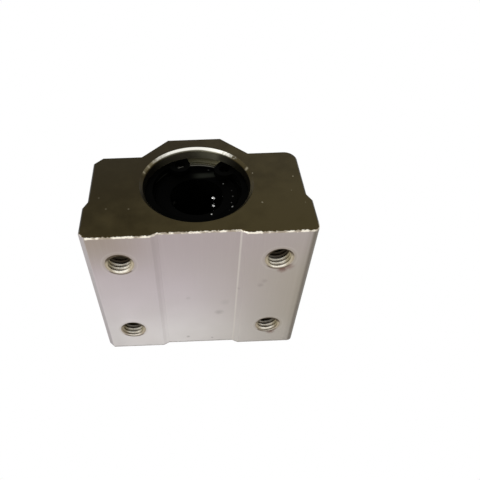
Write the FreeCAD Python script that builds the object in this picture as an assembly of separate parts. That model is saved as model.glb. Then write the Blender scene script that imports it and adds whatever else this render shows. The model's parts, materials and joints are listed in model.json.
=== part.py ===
import FreeCAD, Part
import math
import os

V = FreeCAD.Vector

# Linear bearing block: a pillow housing with a recirculating ball bearing held in its
# bore by two internal circlips.  Millimetres.  The bore axis is Z and the block stands
# on its lower end face; the mounting face looks along -Y and the raised back along +Y.

# ---- bearing: driving dimensions
shaft_d = 10.0
ball_d = 2.0
bearing_length = 29.0
circuits = 4                 # closed ball tracks, evenly spaced round the shaft
loaded_row_angle = 52.0      # where the first loaded row stands, from +X towards +Y
turn_balls = 3               # balls in each half-round end of a track
ball_gap = 0.15              # mean play between neighbouring balls
return_lift = 1.01           # how much further out the turns and return rows run
row_phase = 0.7              # how far the balls stand into the next ball's place, in pitches
sleeve_wall = 1.392          # outside the turns of the tracks
seat_ledge = 0.35            # step that the end rings rest on
relief_ramp = 0.55           # slope from the loaded land out to the turn reliefs
snap_groove_width = 1.3      # the two outer grooves of the sleeve
snap_groove_depth = 0.48
snap_groove_spacing = 22.0   # over the outer sides of the two grooves
sleeve_chamfer = 0.3

# ---- seals and end rings
seal_thickness = 0.75
seal_recess = 0.25           # seal face below the end of the sleeve
seal_ridge_height = 0.15
seal_ridge_width = 0.5
seal_lip_thickness = 0.35
seal_lip_drop = 0.25         # lip below the seal face
seal_cone_width = 1.5        # width of the sloping band that ends in the lip
end_ring_thickness = 0.4
end_ring_gap = 0.6           # between the shaft and the steel end ring

# ---- running clearances
track_clearance = 0.02       # loaded balls to the sleeve, and bearing in the bore
seat_fit = 0.02              # seals and end rings in their seats
slot_clearance = 0.08        # balls in the cage and the return grooves
cage_gap = 0.3               # cage to shaft
cage_fit = 0.07              # cage in the sleeve
cage_end_wall = 0.25         # least wall beyond the turns
relief_clearance = 0.13      # balls in the turns to the sleeve

# ---- housing: driving dimensions
bearing_recess = 3.0         # end face of the block to the end of the bearing
axis_wall = 3.5              # from the bore to the mounting face and to the back
slope_wall = 3.4             # from the bore to the sloping sides of the back
back_slope = math.radians(45)
shoulder_drop = 5.0          # shoulders below the back
screw_wall = 2.0             # between the bore and a screw hole
side_wall = 3.5              # between a screw hole and the side
screw_end_distance = 7.0     # screw hole centre to the end face
bore_chamfer = 0.55
lead_in = 0.3                # the mouth is wider than the bore by this, out to its chamfer
end_break = 0.25             # broken edge round both end faces

# ---- housing: extruded outline
foot_height = 7.25           # of the wider part, from the mounting face
step_in = 0.8                # by which the upper part is narrower
step_height = 1.6
foot_chamfer = 1.1           # left front corner
foot_round = 1.1             # right front corner
shoulder_chamfer = 1.6       # left shoulder corner
shoulder_round = 2.3         # right shoulder corner
recess_depth = 0.6           # relief along the middle of the mounting face
recess_floor_width = 13.8
recess_width = 16.0

# ---- screw holes: tapped from the mounting face, drilled on to the shoulders
thread_d = 5.0
thread_depth = 12.0
drill_d = 4.3
countersink_d = 5.2
exit_chamfer = 0.2

# ---- circlips
circlip_thickness = 1.0
circlip_groove_width = 1.1
circlip_groove_depth = 0.5
circlip_play = 0.05          # between the ring and the bottom of its groove
circlip_back_width = 2.2     # opposite the gap
circlip_end_width = 1.2      # beside the lugs
circlip_lug_height = 3.85    # radial, from the outer edge
circlip_lug_r = 2.0
circlip_hole_d = 2.0
circlip_lug_angle = 32.5     # lug holes, each side of the middle of the gap
circlip_fillet = 0.6
upper_gap_angle = 79.0       # middle of the upper ring's gap, from +X towards +Y
lower_gap_angle = 250.0

# ---- derived: ball tracks.  A track lies in a plane beside the shaft: n looks out from
# the shaft, t along the plane, and z along the shaft.
ball_r = ball_d / 2
shaft_r = shaft_d / 2
pitch = ball_d + ball_gap
turn_r = turn_balls * pitch / math.pi
loaded_r = shaft_r + ball_r
loaded_n = math.sqrt(loaded_r ** 2 - turn_r ** 2)
track_n = loaded_n + return_lift
return_r = math.hypot(track_n, turn_r)
slot_r = ball_r + slot_clearance
track_angle = loaded_row_angle + math.degrees(math.atan2(turn_r, loaded_n))

# ---- derived: bearing
seal_stack = seal_recess + seal_thickness + end_ring_thickness
cage_length = bearing_length - 2 * seal_stack
room_for_balls = cage_length - 2 * (cage_end_wall + slot_r + turn_r)
row_balls = int(room_for_balls / pitch)
row_length = row_balls * pitch
cage_inner_r = shaft_r + cage_gap
land_r = loaded_r + ball_r + track_clearance
cage_outer_r = land_r - cage_fit
relief_r = return_r + ball_r + relief_clearance
relief_start = row_length / 2 - ball_r - relief_clearance
seat_r = relief_r + seat_ledge
sleeve_r = relief_r + sleeve_wall
bore_r = sleeve_r + track_clearance

# ---- derived: housing
block_length = bearing_length + 2 * bearing_recess
screw_x = bore_r + screw_wall + thread_d / 2
screw_z = block_length / 2 - screw_end_distance
half_width = screw_x + thread_d / 2 + side_wall
mount_y = -(bore_r + axis_wall)
back_y = bore_r + axis_wall
shoulder_y = back_y - shoulder_drop
back_base_x = (bore_r + slope_wall - shoulder_y * math.cos(back_slope)) / math.sin(back_slope)
back_top_x = back_base_x - shoulder_drop / math.tan(back_slope)
groove_r = bore_r + circlip_groove_depth


def save(node, shape):
    """Stand the shape on the lower end face and write it as one STEP file."""
    placed = shape.copy()
    placed.translate(V(0, 0, block_length / 2))
    placed.exportStep("parts/%s.step" % node)


def cylinder(radius, z_from, z_to, x=0.0, y=0.0):
    return Part.makeCylinder(radius, z_to - z_from, V(x, y, z_from))


def turned(outline):
    """Solid of revolution about Z from (radius, z) corners."""
    corners = [V(r, 0, z) for r, z in outline]
    face = Part.Face(Part.makePolygon(corners + corners[:1]))
    return face.revolve(V(0, 0, 0), V(0, 0, 1), 360)


def mirrored(outline):
    """The same (radius, z) corners for the other end, in the same sense of turn."""
    return [(r, -z) for r, z in reversed(outline)]


def turned_about(shape, angle):
    copy = shape.copy()
    copy.rotate(V(0, 0, 0), V(0, 0, 1), angle)
    return copy


# ---------------------------------------------------------------------------- housing
def sharp(x, y):
    return (V(x, y, 0), 0.0, False)


def chamfered(x, y, size):
    return (V(x, y, 0), size, False)


def rounded(x, y, radius):
    return (V(x, y, 0), radius, True)


def outline_wire(corners):
    """Closed wire through the corners, each sharp, chamfered or rounded."""
    count = len(corners)
    edges = []
    ends = []
    for i, (point, size, is_round) in enumerate(corners):
        before = (corners[i - 1][0] - point).normalize()
        after = (corners[(i + 1) % count][0] - point).normalize()
        half = before.getAngle(after) / 2
        cut = size / math.tan(half) if is_round else size
        start = point + before * cut
        end = point + after * cut
        ends.append((start, end))
        if size and is_round:
            inward = (before + after).normalize()
            centre = point + inward * (size / math.sin(half))
            middle = centre - inward * size
            edges.append(Part.Arc(start, middle, end).toShape())
        elif size:
            edges.append(Part.makeLine(start, end))
    for i in range(count):
        edges.append(Part.makeLine(ends[i - 1][1], ends[i][0]))
    return Part.Wire(Part.__sortEdges__(edges))


def housing_body():
    """The extruded aluminium section, its end edges broken."""
    narrow = half_width - step_in
    step_low = mount_y + foot_height
    step_high = step_low + step_height
    floor_y = mount_y + recess_depth
    outline = outline_wire([
        sharp(-recess_floor_width / 2, floor_y),
        sharp(recess_floor_width / 2, floor_y),
        sharp(recess_width / 2, mount_y),
        rounded(half_width, mount_y, foot_round),
        rounded(half_width, step_low, step_in / 2),
        sharp(narrow, step_high),
        rounded(narrow, shoulder_y, shoulder_round),
        sharp(back_base_x, shoulder_y),
        sharp(back_top_x, back_y),
        sharp(-back_top_x, back_y),
        sharp(-back_base_x, shoulder_y),
        chamfered(-narrow, shoulder_y, shoulder_chamfer),
        sharp(-narrow, step_high),
        sharp(-half_width, step_low),
        chamfered(-half_width, mount_y, foot_chamfer),
        sharp(-recess_width / 2, mount_y),
    ])
    body = Part.Face(outline).extrude(V(0, 0, block_length))
    body.translate(V(0, 0, -block_length / 2))
    rims = [e for e in body.Edges if abs(abs(e.BoundBox.Center.z) - block_length / 2) < 1e-6]
    return body.makeChamfer(end_break, rims)


def bore_cutter():
    """Bearing bore with its mouths, which lead a circlip in, and the two circlip grooves."""
    half = block_length / 2
    lead_r = bore_r + lead_in
    groove_z = bearing_length / 2
    mouth = [
        (bore_r, groove_z + circlip_groove_width), (lead_r, half - bore_chamfer),
        (lead_r + bore_chamfer, half), (0, half),
    ]
    tool = turned(mouth + mirrored(mouth))
    for z in (groove_z, -groove_z - circlip_groove_width):
        tool = tool.fuse(cylinder(groove_r, z, z + circlip_groove_width))
    return tool


def screw_cutter():
    """One screw hole along +Y: countersink, thread at its major diameter, drilled rest."""
    through = shoulder_y - mount_y
    lead = (countersink_d - thread_d) / 2
    runout = (thread_d - drill_d) / 2
    exit_r = drill_d / 2 + exit_chamfer
    hole = turned([
        (0, 0), (countersink_d / 2, 0), (thread_d / 2, lead),
        (thread_d / 2, thread_depth), (drill_d / 2, thread_depth + runout),
        (drill_d / 2, through - exit_chamfer), (exit_r, through), (0, through),
    ])
    hole.rotate(V(0, 0, 0), V(1, 0, 0), -90)
    hole.translate(V(0, mount_y, 0))
    return hole


def housing():
    body = housing_body().cut(bore_cutter())
    for x in (-screw_x, screw_x):
        for z in (-screw_z, screw_z):
            hole = screw_cutter()
            hole.translate(V(x, 0, z))
            body = body.cut(hole)
    return body


# --------------------------------------------------------------------------- circlips
def circlip(gap_angle):
    """Internal circlip of tapering width, with two round lugs beside its gap."""
    outer_r = groove_r - circlip_play
    hole_r = outer_r - circlip_lug_height + circlip_lug_r
    inner_r = outer_r - (circlip_back_width + circlip_end_width) / 2
    offset = (circlip_back_width - circlip_end_width) / 2
    top = circlip_thickness
    disc = cylinder(outer_r, 0, top)
    ring = disc.cut(cylinder(inner_r, 0, top, x=offset))
    # each lug is a round ear carried out to the ring at its own width
    ear = cylinder(circlip_lug_r, 0, top, x=hole_r)
    neck = Part.makeBox(outer_r - hole_r, 2 * circlip_lug_r, top, V(hole_r, -circlip_lug_r, 0))
    lug = ear.fuse(neck).common(disc)
    for side in (-1, 1):
        ring = ring.fuse(turned_about(lug, side * circlip_lug_angle))
    # the sides of the gap run along the inner sides of the lugs
    slope = math.radians(circlip_lug_angle)
    apex = V(circlip_lug_r / math.sin(slope), 0, 0)
    reach = V(outer_r * math.cos(slope), outer_r * math.sin(slope), 0)
    wedge = [apex, apex + reach, apex + V(reach.x, -reach.y, 0), apex]
    gap = Part.Face(Part.makePolygon(wedge)).extrude(V(0, 0, top))
    ring = ring.cut(gap).removeSplitter()
    ring = ring.makeFillet(circlip_fillet, lug_roots(ring, inner_r, offset))
    for side in (-1, 1):
        angle = math.radians(side * circlip_lug_angle)
        centre = V(hole_r * math.cos(angle), hole_r * math.sin(angle), 0)
        ring = ring.cut(cylinder(circlip_hole_d / 2, 0, top, centre.x, centre.y))
    return turned_about(ring, gap_angle)


def lug_roots(ring, inner_r, offset):
    """Upright edges where a lug leaves the inner edge of the ring."""
    roots = []
    for edge in ring.Edges:
        ends = [v.Point for v in edge.Vertexes]
        upright = len(ends) == 2 and abs(ends[0].z - ends[1].z) > circlip_thickness / 2
        if not upright:
            continue
        middle = (ends[0] + ends[1]) / 2
        from_inner = math.hypot(middle.x - offset, middle.y) - inner_r
        angle = abs(math.degrees(math.atan2(middle.y, middle.x)))
        if abs(from_inner) < 1e-4 and angle > circlip_lug_angle:
            roots.append(edge)
    return roots


# ---------------------------------------------------------------------------- bearing
def bearing_sleeve():
    """Hardened outer sleeve: snap grooves outside; land, turn reliefs and seats inside."""
    end = bearing_length / 2
    groove_out = snap_groove_spacing / 2
    groove_in = groove_out - snap_groove_width
    groove_bottom = sleeve_r - snap_groove_depth
    seat_z = cage_length / 2
    outer = [
        (sleeve_r, groove_in), (groove_bottom, groove_in),
        (groove_bottom, groove_out), (sleeve_r, groove_out),
        (sleeve_r, end - sleeve_chamfer), (sleeve_r - sleeve_chamfer, end),
    ]
    inner = [
        (seat_r + sleeve_chamfer / 2, end), (seat_r, end - sleeve_chamfer / 2),
        (seat_r, seat_z), (relief_r, seat_z),
        (relief_r, relief_start), (land_r, relief_start - relief_ramp),
    ]
    sleeve = turned(outer + inner + mirrored(outer + inner))
    for k in range(circuits):
        sleeve = sleeve.cut(turned_about(return_groove(), circuit_angle(k)))
    return sleeve


def circuit_angle(k):
    return track_angle + k * 360.0 / circuits


def return_groove():
    """Groove in the sleeve's land that the returning balls run through."""
    return cylinder(slot_r + track_clearance, -relief_start, relief_start, track_n, turn_r)


def stadium(half_width_t, n):
    """Face of a closed track's outline, square to n."""
    end = row_length / 2
    low_left = V(n, -half_width_t, -end)
    low_right = V(n, half_width_t, -end)
    high_left = V(n, -half_width_t, end)
    high_right = V(n, half_width_t, end)
    edges = [
        Part.makeLine(low_left, high_left),
        Part.Arc(high_left, V(n, 0, end + half_width_t), high_right).toShape(),
        Part.makeLine(high_right, low_right),
        Part.Arc(low_right, V(n, 0, -end - half_width_t), low_left).toShape(),
    ]
    return Part.Face(Part.Wire(edges))


def track_cutter():
    """Room for one circuit of balls, and the window to the shaft of its loaded row."""
    floor_n = track_n - slot_r
    outward = V(cage_outer_r - floor_n + slot_r, 0, 0)
    end = row_length / 2
    track = stadium(turn_r + slot_r, floor_n).extrude(outward)
    island = stadium(turn_r - slot_r, floor_n).extrude(outward)
    window = cylinder(slot_r, -end, end, loaded_n, -turn_r)
    for z in (-end, end):
        window = window.fuse(Part.makeSphere(slot_r, V(loaded_n, -turn_r, z)))
    return track.cut(island).fuse(window)


def ball_cage():
    """Moulded cage with one closed track for each circuit."""
    end = cage_length / 2
    cage = cylinder(cage_outer_r, -end, end).cut(cylinder(cage_inner_r, -end, end))
    for k in range(circuits):
        cage = cage.cut(turned_about(track_cutter(), circuit_angle(k)))
    return cage


def ball_segments():
    """Ball centres of the four stretches of one circuit, in its own (n, t, z).

    They follow one another up the loaded row, over the upper turn, down the return row
    and round the lower turn, one pitch apart along the track.
    """
    end = row_length / 2
    along = [(i + row_phase) * pitch - end for i in range(row_balls)]
    swing = [math.pi * (i + row_phase) / turn_balls for i in range(turn_balls)]
    upper_turn = [V(track_n, -turn_r * math.cos(a), end + turn_r * math.sin(a)) for a in swing]
    lower_turn = [V(track_n, -point.y, -point.z) for point in upper_turn]
    return {
        "loaded_balls": [V(loaded_n, -turn_r, z) for z in along],
        "upper_turn_balls": upper_turn,
        "return_balls": [V(track_n, turn_r, -z) for z in along],
        "lower_turn_balls": lower_turn,
    }


def balls(centres, angle):
    spheres = Part.Compound([Part.makeSphere(ball_r, centre) for centre in centres])
    return turned_about(spheres, angle)


def end_ring():
    """Steel ring that closes the upper end of the cage."""
    z = cage_length / 2
    inner_r = shaft_r + end_ring_gap
    ring = cylinder(seat_r - seat_fit, z, z + end_ring_thickness)
    return ring.cut(cylinder(inner_r, z, z + end_ring_thickness))


def seal():
    """Rubber seal of the upper end: flat rim, raised ridge and a lip on the shaft."""
    low = cage_length / 2 + end_ring_thickness
    face = low + seal_thickness
    lip_top = face - seal_lip_drop
    cone_r = shaft_r + seal_cone_width
    ridge_mid = (cone_r + seat_r) / 2
    ridge_out = ridge_mid + seal_ridge_width / 2
    ridge_in = ridge_mid - seal_ridge_width / 2
    slope = seal_ridge_height
    return turned([
        (shaft_r, lip_top), (shaft_r, lip_top - seal_lip_thickness),
        (cone_r - seal_cone_width / 2, low), (seat_r - seat_fit, low),
        (seat_r - seat_fit, face), (ridge_out, face),
        (ridge_out - slope, face + seal_ridge_height),
        (ridge_in + slope, face + seal_ridge_height), (ridge_in, face), (cone_r, face),
    ])


def lower(shape):
    """The same piece for the lower end."""
    return shape.mirror(V(0, 0, 0), V(0, 0, 1))


# -------------------------------------------------------------------------- all nodes
os.makedirs("parts", exist_ok=True)
save("housing", housing())
save("bearing_sleeve", bearing_sleeve())
save("ball_cage", ball_cage())
save("end_ring_upper", end_ring())
save("end_ring_lower", lower(end_ring()))
save("seal_upper", seal())
save("seal_lower", lower(seal()))

upper_circlip = circlip(upper_gap_angle)
upper_circlip.translate(V(0, 0, bearing_length / 2))
save("circlip_upper", upper_circlip)
lower_circlip = circlip(lower_gap_angle)
lower_circlip.translate(V(0, 0, -bearing_length / 2 - circlip_thickness))
save("circlip_lower", lower_circlip)

for k in range(circuits):
    for segment, centres in ball_segments().items():
        save("%s_%d" % (segment, k + 1), balls(centres, circuit_angle(k)))
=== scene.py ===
import json
import math

import bmesh
import bpy
from mathutils import Matrix, Vector


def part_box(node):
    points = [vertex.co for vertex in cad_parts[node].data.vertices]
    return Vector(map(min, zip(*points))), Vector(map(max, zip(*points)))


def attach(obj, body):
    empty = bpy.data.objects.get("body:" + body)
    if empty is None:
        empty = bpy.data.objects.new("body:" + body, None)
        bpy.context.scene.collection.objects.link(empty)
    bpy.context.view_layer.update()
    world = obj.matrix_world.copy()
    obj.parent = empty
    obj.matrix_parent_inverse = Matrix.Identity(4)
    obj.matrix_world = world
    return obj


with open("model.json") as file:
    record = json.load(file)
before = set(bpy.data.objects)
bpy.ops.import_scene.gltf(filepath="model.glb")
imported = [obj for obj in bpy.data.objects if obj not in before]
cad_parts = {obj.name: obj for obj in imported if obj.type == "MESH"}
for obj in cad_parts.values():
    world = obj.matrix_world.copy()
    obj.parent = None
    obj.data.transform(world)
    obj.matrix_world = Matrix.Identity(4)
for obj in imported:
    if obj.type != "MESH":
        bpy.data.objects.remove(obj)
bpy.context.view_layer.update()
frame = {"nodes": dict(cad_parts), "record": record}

MM = 0.001
BODY = "block"

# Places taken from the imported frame, in metres.
TAPPED = next(m for m in frame["record"]["mounts"] if m["name"] == "tapped_holes")
SLEEVE_LOW, SLEEVE_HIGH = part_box("bearing_sleeve")
MOUNT_Y = TAPPED["pos_m"][1]
MID_Z = TAPPED["pos_m"][2]
HOLE_X = TAPPED["dims"]["spacing_x_mm"] * MM / 2
HOLE_Z = TAPPED["dims"]["spacing_y_mm"] * MM / 2
HOLE_R = TAPPED["dims"]["hole_r_mm"] * MM

# Sizes that the materials' masks are drawn from, in millimetres.
BORE = (SLEEVE_HIGH[0] - SLEEVE_LOW[0]) / 2 / MM    # radius of the bearing in its bore
MOUTH_EDGE = BORE + 0.86                            # radius that the mouth widens to
HOLE = HOLE_R / MM                                  # radius of a tapped hole
MIDDLE = MID_Z / MM                                 # half the height of the block

# Screw thread of the tapped holes, in metres.
THREAD_PITCH = 0.8 * MM
THREAD_DEEP = 0.43 * MM       # crest above the wall
THREAD_SINK = 0.02 * MM       # root in the metal
THREAD_LEAD = 0.1 * MM        # depth of the countersink
THREAD_CUT = 0.03 * MM        # below the mounting face
THREAD_STEP = 0.003 * MM      # least depth between two points of the section
THREAD_DEPTH = 12.0 * MM
THREAD_ROOT = THREAD_PITCH * 0.44     # half the width of the ridge at its root
THREAD_CREST = THREAD_PITCH * 0.08    # half the width of its crest
THREAD_START = THREAD_CUT - THREAD_PITCH * 0.4
THREAD_STEPS = 56             # sections in one turn
THREAD_TURN = 1.3             # radians from one hole's thread to the next hole's

FLOOR_HALF = 1.5              # half the floor's side, in metres

# Colours of the housing, with its marks: place on the face and size in millimetres,
# and strength from 0 to 1. Stains are all of one size and gaps all of full strength.
# The flank's change from top to foot is painted light, and its darker right-hand tone is
# painted shade.
FLANK_TOP = (0.44, 0.378, 0.380)
FLANK_FOOT_LIT = (0.74, 0.71, 0.695)
FLANK_LILAC = (0.53, 0.44, 0.50)
FLANK_LEFT = (0.45, 0.42, 0.41)
FLANK_RIGHT_SHADE = (0.37, 0.33, 0.27)
FLANK_UPPER_LEFT = (0.345, 0.285, 0.245)
FLANK_CLOUD = (0.44, 0.41, 0.37)
FLANK_STREAK = (0.7, 0.67, 0.64)
FLANK_GRAIN = (0.25, 0.22, 0.20)
FLANK_MARK = (0.17, 0.15, 0.14)
FLANK_MARKS = (
    ((3.8, 11.3), 0.9, 0.30), ((4.9, 14.6), 0.9, 0.12), ((11.3, 20.6), 0.6, 0.25),
    ((11.9, 21.8), 0.6, 0.20), ((-2.3, 16.5), 0.5, 0.18), ((-2.7, 2.3), 0.4, 0.45),
    ((2.5, 1.6), 0.3, 0.40), ((7.2, 19.3), 0.4, 0.25))

END_DARK = (0.026, 0.019, 0.006)
END_LIGHT = (0.058, 0.045, 0.018)
END_GRAIN = (0.10, 0.085, 0.05)
END_NICK = (0.42, 0.38, 0.27)
END_NICKS = (
    ((17.6, 0.6), 0.13, 1.0), ((10.4, 1.9), 0.13, 0.8), ((11.2, -6.0), 0.22, 0.45),
    ((16.7, -3.2), 0.12, 0.5), ((18.6, -6.4), 0.12, 0.4), ((-17.3, -3.4), 0.16, 0.25),
    ((-15.8, -6.3), 0.18, 0.25), ((-11.9, -6.5), 0.18, 0.25))

# Painted light on the left corner and painted shade on the right one.
CORNER_LEFT_LIT = (0.39, 0.355, 0.355)
CORNER_NEAR_RIGHT_SHADE = (0.19, 0.17, 0.13)
CORNER_RIGHT_SHADE = (0.19, 0.165, 0.135)
# Painted shade on the recess's left side and a painted highlight on its right side.
RECESS_SHADE = (0.28, 0.24, 0.24)
RECESS_HIGHLIGHT = (0.68, 0.64, 0.58)

# The beaded line along the front edge is a painted highlight; the dark broken edges are
# painted shade.
LINE_HIGHLIGHT_DIM = (0.42, 0.36, 0.28)
LINE_HIGHLIGHT = (0.97, 0.91, 0.78)
LINE_PLAIN = (0.34, 0.31, 0.29)
EDGE_SHADE = (0.014, 0.011, 0.005)

WALL_FRONT = (0.028, 0.025, 0.016)
WALL_BACK = (0.105, 0.095, 0.063)
WALL_PATCH = (0.25, 0.235, 0.165)
WALL_RIGHT = (0.065, 0.062, 0.045)
GROOVE_BACK = (0.105, 0.10, 0.07)
LEDGE_FRONT_SHADE = (0.004, 0.004, 0.003)
LEDGE_BACK_LIT = (0.52, 0.50, 0.39)

# The mouth's bright arc is a painted highlight, with painted shade at its sides.
MOUTH_SHADE = (0.20, 0.17, 0.10)
MOUTH_HIGHLIGHT = (1.0, 0.985, 0.90)
MOUTH_GAP = (0.27, 0.24, 0.17)
MOUTH_GAPS = (((9.5, 3.5), 0.35), ((-8.8, 5.1), 0.3), ((-9.6, 3.4), 0.25))

# Painted light and shade inside the tapped holes: lit below, shaded above, deep inside and
# at the thread roots.
HOLE_LIT = ((0.70, 0.62, 0.48), (1.0, 0.96, 0.86))
HOLE_SIDE = ((0.24, 0.20, 0.115), (0.50, 0.43, 0.28))
HOLE_ROOT_SHADE = (0.17, 0.125, 0.07)
HOLE_FIRST_RIDGE = (0.48, 0.41, 0.33)
HOLE_SHADE_ABOVE = (0.06, 0.04, 0.018)
HOLE_SHADE_DEEP = (0.05, 0.033, 0.014)
HOLE_WORN = (0.33, 0.28, 0.19)
HOLE_RING = (0.70, 0.67, 0.60)
HOLE_RIM = (0.44, 0.39, 0.33)
HOLE_RIM_BELOW = (0.10, 0.07, 0.045)
HOLE_LIP_BELOW = (0.11, 0.08, 0.055)
STAIN = (0.18, 0.095, 0.075)
STAIN_SIZE = 0.9
STAINS = (((14.8, 25.1), 0.9), ((15.9, 25.8), 0.6), ((14.8, 4.3), 0.8))

# Colours of the bearing, with the painted glints on its seal: place, size and tone.
BLACK = (0.0005, 0.0005, 0.0004)
BLACK_LIGHTER = tuple(2.2 * part for part in BLACK)
RUBBER_SHEEN = (0.012, 0.013, 0.010)
RING_STEEL = (0.05, 0.05, 0.045)
RING_LIGHTER = tuple(1.25 * part for part in RING_STEEL)
# Steel painted near black for the shade inside the bearing; the tones after it are painted
# glints and highlights.
SHADED_STEEL = (0.006, 0.006, 0.005)
GLINT_STEEL = (0.5, 0.5, 0.49)
SLEEVE_HIGHLIGHT = ((0.55, 0.54, 0.44), (0.80, 0.78, 0.64))
SLEEVE_HIGHLIGHT_DIM = (0.30, 0.29, 0.24)
SEAL_GLINTS = (
    ((2.5, -5.0), 0.16, 0.60), ((6.4, -3.4), 0.2, 0.25), ((5.8, -4.4), 0.16, 0.12),
    ((6.3, -2.3), 0.15, 0.05), ((6.7, -0.6), 0.2, 0.04), ((6.6, 1.0), 0.15, 0.03),
    ((5.2, 3.1), 0.16, 0.08), ((4.8, 5.2), 0.16, 0.1), ((5.8, 5.1), 0.15, 0.05),
    ((2.6, 7.1), 0.18, 0.05), ((-2.4, 7.0), 0.2, 0.03))


# --------------------------------------------------------------------- node materials
class Shader:
    """A node material round one Principled shader, with short calls for its maths.

    Masks run from 0 to 1; x, y and z are places on the part in millimetres.
    """

    def __init__(self, name, roughness, metallic=0.0, specular=0.5):
        self.material = bpy.data.materials.new(name)
        self.material.use_nodes = True
        self.tree = self.material.node_tree
        self.principled = self.tree.nodes["Principled BSDF"]
        self.principled.inputs["Roughness"].default_value = roughness
        self.principled.inputs["Metallic"].default_value = metallic
        self.principled.inputs["Specular IOR Level"].default_value = specular
        place = self.node("ShaderNodeTexCoord").outputs["Object"]
        self.place = self.vector("SCALE", place, scale=1 / MM)
        split = self.node("ShaderNodeSeparateXYZ")
        self.link(self.place, split.inputs[0])
        self.x, self.y, self.z = split.outputs
        surface = self.node("ShaderNodeNewGeometry")
        facing = self.node("ShaderNodeSeparateXYZ")
        self.link(surface.outputs["True Normal"], facing.inputs[0])
        self.nx, self.ny, self.nz = facing.outputs

    def node(self, kind):
        return self.tree.nodes.new(kind)

    def link(self, source, target):
        self.tree.links.new(source, target)

    def feed(self, value, socket):
        if isinstance(value, bpy.types.NodeSocket):
            self.link(value, socket)
        else:
            socket.default_value = value

    def set(self, socket, value):
        self.feed(value, self.principled.inputs[socket])

    def math(self, operation, a, b=0.0):
        node = self.node("ShaderNodeMath")
        node.operation = operation
        self.feed(a, node.inputs[0])
        self.feed(b, node.inputs[1])
        return node.outputs[0]

    def plus(self, a, b):
        return self.math("ADD", a, b)

    def minus(self, a, b):
        return self.math("SUBTRACT", a, b)

    def times(self, a, b):
        return self.math("MULTIPLY", a, b)

    def absolute(self, a):
        return self.math("ABSOLUTE", a)

    def apart(self, a, b):
        """Distance between two numbers."""
        return self.absolute(self.minus(a, b))

    def vector(self, operation, a, b=(0, 0, 0), scale=1.0):
        node = self.node("ShaderNodeVectorMath")
        node.operation = operation
        self.feed(a, node.inputs[0])
        if operation == "SCALE":
            node.inputs["Scale"].default_value = scale
        else:
            self.feed(b, node.inputs[1])
        return node.outputs[0]

    def noise(self, scale, stretch=(1, 1, 1), detail=2.0, shift=0.0):
        """Noise with scale features a millimetre, 0 to 1."""
        node = self.node("ShaderNodeTexNoise")
        node.inputs["Scale"].default_value = scale
        node.inputs["Detail"].default_value = detail
        moved = self.vector("ADD", self.place, (shift, shift, shift))
        self.link(self.vector("MULTIPLY", moved, stretch), node.inputs["Vector"])
        return node.outputs["Fac"]

    def band(self, value, low, high):
        """0 below low, 1 above high and smooth between; low may be the higher one."""
        node = self.node("ShaderNodeMapRange")
        node.interpolation_type = "SMOOTHSTEP"
        self.feed(value, node.inputs["Value"])
        node.inputs["From Min"].default_value = low
        node.inputs["From Max"].default_value = high
        return node.outputs[0]

    def both(self, *masks):
        """Where all the masks meet."""
        product = masks[0]
        for mask in masks[1:]:
            product = self.times(product, mask)
        return product

    def inverse(self, mask):
        return self.minus(1.0, mask)

    def mix(self, factor, a, b):
        """Colour from a to b."""
        node = self.node("ShaderNodeMix")
        node.data_type = "RGBA"
        self.feed(factor, node.inputs["Factor"])
        for name, tone in (("A", a), ("B", b)):
            self.feed((*tone, 1.0) if isinstance(tone, tuple) else tone, node.inputs[name])
        return node.outputs["Result"]

    def tint(self, colour, mask, strength, tone):
        """Colour moved towards a tone by a share of the mask."""
        return self.mix(self.times(mask, strength), colour, tone)

    def blend(self, factor, a, b):
        """Plain number from a to b."""
        node = self.node("ShaderNodeMix")
        self.feed(factor, node.inputs["Factor"])
        self.feed(a, node.inputs["A"])
        self.feed(b, node.inputs["B"])
        return node.outputs["Result"]

    def bump(self, height, distance_mm):
        node = self.node("ShaderNodeBump")
        node.inputs["Distance"].default_value = distance_mm * MM
        node.inputs["Strength"].default_value = 1.0
        self.link(height, node.inputs["Height"])
        self.link(node.outputs["Normal"], self.principled.inputs["Normal"])


def length_of(s, across, along):
    squares = s.plus(s.math("POWER", across, 2.0), s.math("POWER", along, 2.0))
    return s.math("SQRT", squares)


def from_bore_axis(s):
    return length_of(s, s.x, s.y)


def beside_hole(s):
    """Sideways distance in millimetres from the nearest screw hole's axis."""
    return s.apart(s.absolute(s.x), HOLE_X / MM)


def above_hole(s):
    """Height in millimetres over the nearest screw hole's axis."""
    height = s.minus(s.z, MIDDLE)
    return s.minus(height, s.times(s.math("SIGN", height), HOLE_Z / MM))


def from_hole_axis(s):
    return length_of(s, beside_hole(s), s.minus(s.apart(s.z, MIDDLE), HOLE_Z / MM))


def spot(s, a, b, at, size, ragged, soft=0.9):
    """Round mark with a ragged rim at one place of the plane of a and b."""
    distance = length_of(s, s.minus(a, at[0]), s.minus(b, at[1]))
    distance = s.plus(distance, s.times(ragged, size))
    return s.band(distance, (1.0 + soft) * size, (1.5 - soft) * size)


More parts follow.
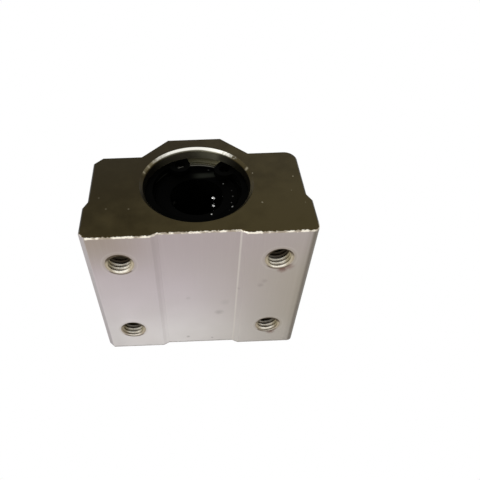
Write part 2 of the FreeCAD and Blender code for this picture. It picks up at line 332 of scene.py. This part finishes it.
# ---------------------------------------------------------------------------- housing
class HousingShader(Shader):
    """The plated housing's shader, with masks for its faces and noises over them."""

    def __init__(self):
        super().__init__("housing_plated_aluminium", roughness=0.36, metallic=1.0)
        self.drawn = self.noise(3.0, stretch=(1, 1, 0.03), shift=5.0)
        self.grain = self.noise(9.0, shift=11.0)
        self.uneven = self.noise(0.9, detail=4.0, shift=17.0)
        self.ragged = self.noise(2.5, detail=3.0, shift=23.0)

        self.radius = from_bore_axis(self)
        self.from_hole = from_hole_axis(self)
        outside = self.band(self.radius, MOUTH_EDGE, MOUTH_EDGE + 0.02)
        upright = self.inverse(self.band(self.absolute(self.nz), 0.4, 0.5))
        self.end_face = self.band(self.absolute(self.nz), 0.95, 0.99)
        slanted = self.both(self.inverse(upright), self.inverse(self.end_face))
        self.broken_edge = self.both(slanted, outside)
        self.mouth = self.both(slanted, self.inverse(outside))
        self.in_bore = self.both(self.inverse(outside), upright)
        self.ledge = self.both(self.end_face, self.inverse(outside))
        self.on_front = self.band(self.ny, -0.5, -0.6)
        self.in_hole = self.both(
            self.inverse(self.band(self.from_hole, HOLE + 0.02, HOLE + 0.04)),
            self.inverse(self.end_face),
            self.inverse(self.band(self.absolute(self.ny), 0.9, 0.95)))


def flank_colour(s):
    """Satin plating: lilac grey, with painted light that pales it downwards and painted
    shade that makes it darker and warmer to the right.
    """
    colour = s.mix(s.band(s.z, 34.0, 2.0), FLANK_TOP, FLANK_FOOT_LIT)
    half_way = s.band(s.apart(s.z, 18.0), 16.0, 0.0)
    colour = s.tint(colour, half_way, 0.25, FLANK_LILAC)
    left = s.both(s.band(s.x, -14.0, -18.0), s.band(s.z, 26.0, 6.0))
    colour = s.tint(colour, left, 0.25, FLANK_LEFT)
    right = s.both(s.band(s.x, -6.0, 24.0), s.blend(s.band(s.z, 36.0, 22.0), 0.4, 1.0),
                   s.blend(s.band(s.z, 12.0, -2.0), 1.0, 0.75))
    colour = s.mix(right, colour, FLANK_RIGHT_SHADE)
    upper_left = s.both(s.band(s.x, -5.0, -17.0), s.band(s.z, 24.0, 34.0))
    colour = s.mix(upper_left, colour, FLANK_UPPER_LEFT)
    cloud = s.band(s.noise(0.11, shift=4.0), 0.35, 0.75)
    colour = s.tint(colour, cloud, 0.14, FLANK_CLOUD)
    colour = s.tint(colour, s.band(s.drawn, 0.45, 0.8), 0.04, FLANK_STREAK)
    colour = s.tint(colour, s.band(s.grain, 0.55, 0.8), 0.06, FLANK_GRAIN)
    near_front = s.band(s.y, -8.0, -10.0)
    for at, size, strength in FLANK_MARKS:
        mark = s.both(spot(s, s.x, s.z, at, size, s.ragged), near_front)
        colour = s.tint(colour, mark, strength, FLANK_MARK)
    return colour


def corners_over(s, colour):
    """Long corners: painted light, paler, on the left one, and painted shade, darker and
    greener, on the right.
    """
    colour = s.mix(s.band(s.x, -18.9, -19.2), colour, CORNER_LEFT_LIT)
    colour = s.tint(colour, s.band(s.x, 17.6, 18.6), 0.2, CORNER_NEAR_RIGHT_SHADE)
    right = s.both(s.band(s.x, 18.6, 19.2), s.band(s.y, -11.4, -12.1))
    return s.mix(right, colour, CORNER_RIGHT_SHADE)


def recess_sides_over(s, colour):
    """Sides of the recess: a faint painted shade line on the left one, a painted highlight
    line on the right.
    """
    side = s.both(s.inverse(s.band(s.absolute(s.x), 8.3, 8.6)),
                  s.band(s.absolute(s.nx), 0.3, 0.35), s.band(s.ny, -0.7, -0.8))
    shade_line = s.both(side, s.band(s.x, -7.3, -7.5))
    colour = s.tint(colour, shade_line, 0.1, RECESS_SHADE)
    highlight_line = s.both(side, s.band(s.x, 7.3, 7.1), s.band(s.x, 1.0, 2.0))
    return s.tint(colour, highlight_line, 0.5, RECESS_HIGHLIGHT)


def hole_wear_over(s, colour):
    """Worn ring round each tapped hole, and brown stains below the two on the right."""
    worn = s.both(s.band(s.from_hole, 3.2, 2.7), s.on_front)
    colour = s.tint(colour, worn, 0.2, HOLE_WORN)
    ring = s.both(s.band(s.apart(s.from_hole, 3.15), 0.22, 0.05), s.on_front)
    colour = s.tint(colour, ring, 0.1, HOLE_RING)
    for at, strength in STAINS:
        stain = s.both(spot(s, s.x, s.z, at, STAIN_SIZE, s.ragged), s.on_front)
        colour = s.tint(colour, stain, strength, STAIN)
    return colour


def end_colour(s):
    """Machined ends: dark olive brown with a few pale nicks."""
    patch = s.noise(0.3, detail=4.0, shift=3.0)
    rightward = s.band(s.x, -16.0, 20.0)
    backward = s.band(s.y, -12.0, 6.0)
    tone = s.plus(s.times(patch, 0.7), s.times(rightward, 0.45))
    tone = s.minus(s.plus(tone, 0.13), s.times(backward, 0.30))
    colour = s.mix(s.band(tone, 0.2, 0.9), END_DARK, END_LIGHT)
    colour = s.tint(colour, s.band(s.grain, 0.5, 0.8), 0.25, END_GRAIN)
    for at, size, strength in END_NICKS:
        nick = spot(s, s.x, s.y, at, size, s.ragged, soft=0.5)
        colour = s.tint(colour, nick, strength, END_NICK)
    return colour


def wall_colour(s):
    """The bore's wall: dark in front, with a patch at the back that catches the light."""
    patch = s.both(s.band(s.x, -1.5, 3.0), s.band(s.x, 5.2, 3.8))
    colour = s.mix(patch, WALL_BACK, WALL_PATCH)
    colour = s.mix(s.band(s.x, 4.5, 6.0), colour, WALL_RIGHT)
    colour = s.mix(s.band(s.y, 5.0, 9.0), WALL_FRONT, colour)
    groove = s.both(s.band(s.radius, BORE + 0.35, BORE + 0.45), s.band(s.y, 6.5, 8.0))
    return s.mix(groove, colour, GROOVE_BACK)


def broken_edges_over(s, colour, ends):
    """Edges of the ends, painted shade but for a painted highlight: a bright beaded line
    along the front of the upper one.
    """
    line = s.mix(s.band(s.uneven, 0.40, 0.58), LINE_HIGHLIGHT_DIM, LINE_HIGHLIGHT)
    plain = s.math("MAXIMUM", s.band(s.z, 19.0, 16.0), s.band(s.x, -18.7, -19.0))
    line = s.mix(plain, line, LINE_PLAIN)
    at_front = s.band(s.y, -11.0, -12.0)
    colour = s.mix(s.broken_edge, colour, s.mix(at_front, EDGE_SHADE, line))
    from_end = s.minus(MIDDLE, s.apart(s.z, MIDDLE))
    from_end = s.plus(from_end, s.times(s.ragged, -0.4))
    on_face = s.both(s.band(s.ny, -0.85, -0.9), s.band(from_end, 0.34, 0.22))
    colour = s.mix(on_face, colour, line)
    # The upper part of the front edge keeps the ends' colour, outside the painted
    # highlight.
    edge_past_highlight = s.both(s.broken_edge, at_front, s.band(from_end, -0.02, -0.1))
    return s.mix(edge_past_highlight, colour, ends)


def mouth_colour(s, ends, wall):
    """The mouth's chamfer: a painted highlight at the back, less and less towards the
    sides, with a few gaps and painted shade beside it.
    """
    leftward = s.band(s.x, 1.0, -1.0)
    backward = s.plus(s.y, s.times(s.minus(s.ragged, 0.5), 3.0))
    highlight = s.blend(leftward, s.band(backward, 6.4, 9.4), s.band(backward, 5.5, 9.9))
    radius = s.plus(s.radius, s.times(s.band(s.x, 1.0, 3.5), 0.06))
    chamfer = s.band(radius, BORE + 0.40, BORE + 0.58)
    shade = s.both(chamfer, s.band(backward, 2.0, 5.0), s.blend(leftward, 0.15, 0.7))
    colour = s.mix(shade, ends, MOUTH_SHADE)
    colour = s.mix(s.both(highlight, chamfer), colour, MOUTH_HIGHLIGHT)
    for at, size in MOUTH_GAPS:
        colour = s.mix(spot(s, s.x, s.y, at, size, s.ragged), colour, MOUTH_GAP)
    below_chamfer = s.both(s.band(chamfer, 0.5, 0.2), s.band(s.y, 7.0, 8.5))
    return s.mix(below_chamfer, colour, wall)


def hole_colour(s, grain):
    """Cut thread with painted light: bright below, olive at its sides, and painted shade,
    dark brown, above, deep inside and at the roots.
    """
    depth = s.minus(s.y, MOUNT_Y / MM)
    beside = beside_hole(s)
    lit = s.mix(s.band(grain, 0.35, 0.6), *HOLE_LIT)
    side = s.mix(s.band(grain, 0.3, 0.7), *HOLE_SIDE)
    colour = s.mix(s.band(beside, 0.8, 1.9), lit, side)
    root = s.band(from_hole_axis(s), HOLE - 0.25, HOLE - 0.05)
    colour = s.tint(colour, root, 0.6, HOLE_ROOT_SHADE)
    first_ridge = s.both(s.band(depth, 0.65, 0.35), s.band(beside, 0.9, 1.7))
    colour = s.tint(colour, first_ridge, 0.4, HOLE_FIRST_RIDGE)
    colour = s.mix(s.band(above_hole(s), 0.1, 1.4), colour, HOLE_SHADE_ABOVE)
    return s.mix(s.band(depth, 1.5, 2.6), colour, HOLE_SHADE_DEEP)


def hole_rim_over(s, colour):
    """Edge of each tapped hole: pale, but dark with a dark lip on the face below it."""
    rim = s.both(s.inverse(s.in_hole),
                 s.inverse(s.band(s.from_hole, HOLE + 0.12, HOLE + 0.16)),
                 s.band(s.ny, -0.95, -0.85), s.on_front)
    below = s.band(above_hole(s), -1.5, -2.1)
    colour = s.mix(rim, colour, s.mix(below, HOLE_RIM, HOLE_RIM_BELOW))
    lip = s.both(s.on_front, s.band(s.from_hole, HOLE + 0.36, HOLE + 0.22), below)
    return s.tint(colour, lip, 0.8, HOLE_LIP_BELOW)


def housing_material():
    """Plated aluminium: pale satin flanks, dark machined ends, broken edges with a painted
    highlight, and painted light and shade on flanks, corners, bore and holes.
    """
    s = HousingShader()
    ends = end_colour(s)
    wall = wall_colour(s)
    colour = corners_over(s, flank_colour(s))
    colour = hole_wear_over(s, recess_sides_over(s, colour))
    colour = s.mix(s.end_face, colour, ends)
    colour = s.mix(s.in_bore, colour, wall)
    # Painted light on the ledge under the circlip: bright at the back, painted shade in
    # front.
    ledge = s.mix(s.band(s.y, 7.0, 9.0), LEDGE_FRONT_SHADE, LEDGE_BACK_LIT)
    colour = s.mix(s.ledge, colour, ledge)
    colour = broken_edges_over(s, colour, ends)
    colour = s.mix(s.mouth, colour, mouth_colour(s, ends, wall))
    colour = s.mix(s.in_hole, colour, hole_colour(s, s.grain))
    s.set("Base Color", hole_rim_over(s, colour))
    rough = s.blend(s.end_face, 0.36, 0.42)
    rough = s.blend(s.times(s.grain, 0.3), rough, 0.6)
    s.set("Roughness", s.blend(s.math("MAXIMUM", s.mouth, s.in_hole), rough, 0.3))
    s.bump(s.plus(s.times(s.grain, 0.5), s.drawn), 0.006)
    return s.material


def thread_material():
    """Metal of the cut threads, coloured like the holes that they stand in, with their
    painted light and shade.
    """
    s = Shader("cut_thread_metal", roughness=0.3, metallic=0.55)
    grain = s.noise(6.0, detail=3.0)
    s.set("Base Color", hole_colour(s, grain))
    s.set("Roughness", s.blend(grain, 0.28, 0.5))
    s.bump(grain, 0.02)
    return s.material


# ---------------------------------------------------------------------------- bearing
def black_material(name, roughness, specular, grain_scale, depth_mm):
    """Near-black finish with fine grain, for the circlips and the cage."""
    s = Shader(name, roughness=roughness, specular=specular)
    grain = s.noise(grain_scale, detail=3.0)
    cloud = s.noise(0.4, shift=7.0)
    s.set("Base Color", s.mix(s.band(cloud, 0.3, 0.7), BLACK, BLACK_LIGHTER))
    s.set("Roughness", s.blend(grain, roughness * 0.7, roughness * 1.4))
    s.bump(grain, depth_mm)
    return s.material


def rubber_material():
    """Seal rubber: black, with a painted sheen at the back and a few painted glints."""
    s = Shader("seal_rubber_black", roughness=0.4, specular=0.007)
    grain = s.noise(7.0, detail=3.0)
    ragged = s.noise(2.5, detail=3.0, shift=23.0)
    sheen = s.both(s.band(s.y, 4.9, 5.5), s.band(s.y, 6.7, 5.9),
                    s.band(s.apart(s.x, 2.4), 3.6, 1.0))
    colour = s.mix(sheen, BLACK, RUBBER_SHEEN)
    for at, size, tone in SEAL_GLINTS:
        glint = spot(s, s.x, s.y, at, size, ragged, soft=0.5)
        colour = s.mix(glint, colour, (tone, tone, tone * 0.95))
    s.set("Base Color", colour)
    s.set("Roughness", s.blend(grain, 0.3, 0.55))
    s.bump(grain, 0.008)
    return s.material


def ring_material():
    """Plain steel of the end rings, which the seals hide."""
    s = Shader("ring_steel", roughness=0.3, metallic=1.0)
    grain = s.noise(5.0, detail=3.0)
    s.set("Base Color", s.mix(s.band(grain, 0.3, 0.7), RING_STEEL, RING_LIGHTER))
    s.set("Roughness", s.blend(grain, 0.21, 0.45))
    s.bump(grain, 0.004)
    return s.material


def ball_material():
    """Polished steel balls painted near black for the shade in the bearing, with painted
    glints bright on the row facing the light.
    """
    s = Shader("polished_ball_steel", roughness=0.06, metallic=1.0)
    grain = s.noise(5.0)
    glinting_row = s.both(s.band(s.x, 0.5, 2.0), s.band(s.y, 0.5, 2.0))
    s.set("Base Color", s.mix(glinting_row, SHADED_STEEL, GLINT_STEEL))
    s.set("Roughness", s.blend(glinting_row, 0.4, s.blend(grain, 0.04, 0.06)))
    s.bump(grain, 0.002)
    return s.material


def sleeve_material():
    """Ground steel, painted near black for shade but for a painted highlight on its edge
    at the back.
    """
    s = Shader("ground_bearing_steel", roughness=0.3, metallic=1.0)
    grain = s.noise(5.0, stretch=(1, 1, 6.0), detail=3.0)
    radius = from_bore_axis(s)
    bright = s.mix(s.band(grain, 0.3, 0.7), *SLEEVE_HIGHLIGHT)
    bright = s.mix(s.band(radius, 9.05, 8.85), bright, SLEEVE_HIGHLIGHT_DIM)
    # Painted highlight: only the back of the sleeve's end is lit.
    lit = s.both(s.band(s.y, 7.2, 8.4), s.band(radius, 8.5, 8.62))
    s.set("Base Color", s.mix(lit, SHADED_STEEL, bright))
    s.set("Roughness", s.blend(grain, 0.2, 0.45))
    s.bump(grain, 0.004)
    return s.material


def paint(node, material):
    mesh = frame["nodes"][node].data
    mesh.materials.clear()
    mesh.materials.append(material)


def paint_cad_nodes():
    circlip = black_material("blackened_spring_steel", 0.25, 0.006, 4.0, 0.01)
    rubber = rubber_material()
    ring = ring_material()
    ball = ball_material()
    paint("housing", housing_material())
    paint("bearing_sleeve", sleeve_material())
    paint("ball_cage", black_material("cage_plastic_black", 0.28, 0.015, 5.0, 0.006))
    for end in ("upper", "lower"):
        paint("circlip_" + end, circlip)
        paint("seal_" + end, rubber)
        paint("end_ring_" + end, ring)
    for node in frame["nodes"]:
        if "_balls_" in node:
            paint(node, ball)


# ---------------------------------------------------------------------------- threads
def thread_section(middle):
    """Section of the ridge round one depth, cut off flat at the mouth of the hole."""
    depths = (middle - THREAD_ROOT, middle - THREAD_ROOT, middle - THREAD_CREST,
              middle + THREAD_CREST, middle + THREAD_ROOT)
    in_wall = (0, len(depths) - 1)
    section = []
    for k, depth in enumerate(depths):
        depth = max(depth, THREAD_CUT) + k * THREAD_STEP
        wall_r = HOLE_R + max(0.0, THREAD_LEAD - depth) + THREAD_SINK
        rise = (THREAD_ROOT - abs(depth - middle)) / (THREAD_ROOT - THREAD_CREST)
        height = (THREAD_DEEP + THREAD_SINK) * min(1.0, max(0.0, rise))
        section.append((wall_r if k in in_wall else HOLE_R + THREAD_SINK - height, depth))
    return section


def thread_piece(name, x, z, phase):
    """One internal screw thread as a helical ridge that grows out of the hole's wall."""
    travel = THREAD_DEPTH - THREAD_PITCH - THREAD_START
    mesh = bmesh.new()
    rows = []
    for i in range(int(travel / THREAD_PITCH * THREAD_STEPS) + 1):
        angle = phase + 2 * math.pi * i / THREAD_STEPS
        across = Vector((math.cos(angle), 0, math.sin(angle)))
        section = thread_section(THREAD_START + THREAD_PITCH * i / THREAD_STEPS)
        rows.append([mesh.verts.new(Vector((x, MOUNT_Y + depth, z)) + radius * across)
                     for radius, depth in section])
    for low, high in zip(rows, rows[1:]):
        for a in range(len(low)):
            b = (a + 1) % len(low)
            mesh.faces.new((low[a], low[b], high[b], high[a]))
    mesh.faces.new(rows[0])
    mesh.faces.new(reversed(rows[-1]))
    bmesh.ops.recalc_face_normals(mesh, faces=mesh.faces)
    data = bpy.data.meshes.new(name)
    mesh.to_mesh(data)
    mesh.free()
    piece = bpy.data.objects.new(name, data)
    bpy.context.scene.collection.objects.link(piece)
    return piece


def add_threads():
    material = thread_material()
    corners = {"upper_left": (-1, 1), "upper_right": (1, 1),
               "lower_left": (-1, -1), "lower_right": (1, -1)}
    for i, (corner, (side, end)) in enumerate(corners.items()):
        piece = thread_piece("thread_" + corner, side * HOLE_X, MID_Z + end * HOLE_Z,
                             THREAD_TURN * i)
        piece.data.materials.append(material)
        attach(piece, BODY)


# ------------------------------------------------------------------------------ stage
def pale_surface(name, tone):
    """Matt white that the camera sees as plain white and that still lights the part."""
    material = bpy.data.materials.new(name)
    material.use_nodes = True
    tree = material.node_tree
    tree.nodes.clear()
    out = tree.nodes.new("ShaderNodeOutputMaterial")
    matt = tree.nodes.new("ShaderNodeBsdfDiffuse")
    matt.inputs["Color"].default_value = (tone, tone, tone, 1)
    glow = tree.nodes.new("ShaderNodeEmission")
    path = tree.nodes.new("ShaderNodeLightPath")
    blend = tree.nodes.new("ShaderNodeMixShader")
    tree.links.new(path.outputs["Is Camera Ray"], blend.inputs["Fac"])
    tree.links.new(matt.outputs[0], blend.inputs[1])
    tree.links.new(glow.outputs[0], blend.inputs[2])
    tree.links.new(blend.outputs[0], out.inputs["Surface"])
    return material


def add_floor():
    data = bpy.data.meshes.new("floor")
    corners = [(x * FLOOR_HALF, y * FLOOR_HALF, 0)
               for x, y in ((-1, -1), (1, -1), (1, 1), (-1, 1))]
    data.from_pydata(corners, [], [(0, 1, 2, 3)])
    floor = bpy.data.objects.new("floor", data)
    data.materials.append(pale_surface("floor_white", 0.9))
    bpy.context.scene.collection.objects.link(floor)


def add_world():
    """Even light grey all round, which the camera sees as white."""
    world = bpy.data.worlds.new("studio")
    bpy.context.scene.world = world
    world.use_nodes = True
    tree = world.node_tree
    sky = tree.nodes["Background"]
    sky.inputs["Color"].default_value = (0.90, 0.90, 0.90, 1)
    white = tree.nodes.new("ShaderNodeBackground")
    white.inputs["Color"].default_value = (1, 1, 1, 1)
    path = tree.nodes.new("ShaderNodeLightPath")
    shown = tree.nodes.new("ShaderNodeMath")
    shown.operation = "MAXIMUM"
    blend = tree.nodes.new("ShaderNodeMixShader")
    tree.links.new(path.outputs["Is Camera Ray"], shown.inputs[0])
    tree.links.new(path.outputs["Is Transmission Ray"], shown.inputs[1])
    tree.links.new(shown.outputs[0], blend.inputs["Fac"])
    tree.links.new(sky.outputs[0], blend.inputs[1])
    tree.links.new(white.outputs[0], blend.inputs[2])
    tree.links.new(blend.outputs[0], tree.nodes["World Output"].inputs["Surface"])


def add_lamp(name, place, aim, size, watts):
    data = bpy.data.lights.new(name, "AREA")
    data.shape = "DISK"
    data.size = size
    data.energy = watts
    lamp = bpy.data.objects.new(name, data)
    lamp.location = place
    direction = Vector(aim) - Vector(place)
    lamp.rotation_euler = direction.to_track_quat("-Z", "Y").to_euler()
    bpy.context.scene.collection.objects.link(lamp)


def add_camera():
    """Looks down on the mounting face and the upper end, from close by."""
    data = bpy.data.cameras.new("camera")
    data.lens = 35.40
    data.sensor_width = 36.0
    data.shift_x = 0.0955
    data.shift_y = 0.0561
    data.clip_start = 0.005
    camera = bpy.data.objects.new("camera", data)
    place = Vector((-1.608, -66.370, 90.788)) * MM
    forward = Vector((0.00743, 0.63933, -0.76890)).normalized()
    roll = math.radians(-1.647)
    level = forward.cross(Vector((0, 0, 1))).normalized()
    right = Matrix.Rotation(-roll, 3, forward) @ level
    up = right.cross(forward)
    turn = Matrix((right, up, -forward)).transposed()
    camera.matrix_world = Matrix.Translation(place) @ turn.to_4x4()
    bpy.context.scene.collection.objects.link(camera)
    bpy.context.scene.camera = camera


paint_cad_nodes()
add_threads()
add_floor()
add_world()
add_lamp("key", place=(-0.39, -0.20, 0.22), aim=(0, 0, MID_Z), size=0.14, watts=0.9)
add_camera()
bpy.context.scene.view_settings.view_transform = "Standard"
